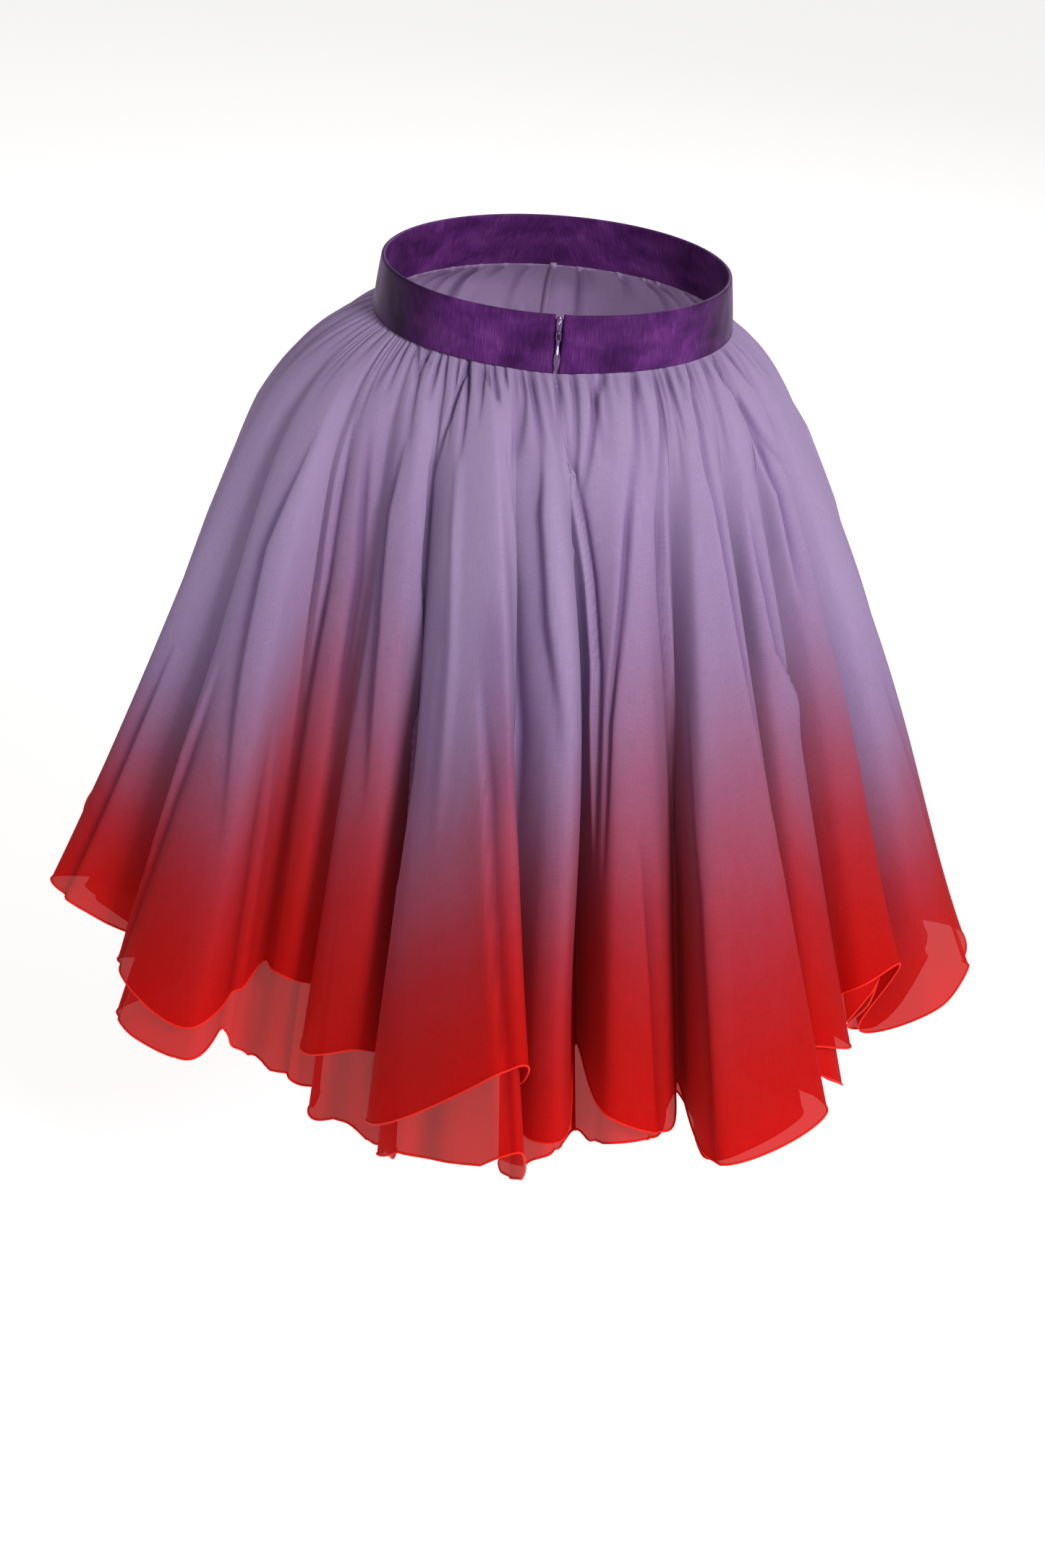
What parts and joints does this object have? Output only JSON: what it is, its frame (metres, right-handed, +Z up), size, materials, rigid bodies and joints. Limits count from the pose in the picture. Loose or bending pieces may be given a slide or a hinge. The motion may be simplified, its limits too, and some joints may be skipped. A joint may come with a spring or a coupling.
{
  "type": "organza skirt",
  "caption": "Worn, hollow gathered skirt of layered dip-dyed organza on a satin waistband, with a centre-back zip whose pull tab swings on its slider.",
  "frame": {"origin": "middle of the waist, halfway up the waistband, on the wearer's upright axis", "axes": "+Z up the wearer's body, +Y towards the wearer's back where the zip is, +X towards the wearer's left"},
  "size_m": [0.6848, 0.7435, 0.5584],
  "materials": {
    "satin": "plum slubbed satin, doubled and interfaced",
    "organza": "sheer silk organza, dip-dyed from lilac to red, with a rolled hem",
    "under_organza": "sheer silk organza, dip-dyed from lilac to red, with a rolled hem",
    "zip_tape": "woven polyester tape with its closed coil",
    "zip_metal": "die-cast zinc, lilac enamel"
  },
  "bodies": {
    "skirt": {"waistband": "satin", "outer_left_front": "organza", "outer_right_front": "organza", "outer_left_back": "organza", "outer_right_back": "organza", "under_left_front": "under_organza", "under_right_front": "under_organza", "under_left_back": "under_organza", "under_right_back": "under_organza", "zip_tape": "zip_tape", "zip_slider": "zip_metal"},
    "pull_tab": {"zip_pull": "zip_metal"}
  },
  "joints": [
    {"name": "pull_tab_swing", "type": "hinge", "parent": "skirt", "child": "pull_tab", "pos_m": [0, 0.09439, 0.008], "axis": [1, 0, 0], "range_deg": [0, 165]}
  ]
}
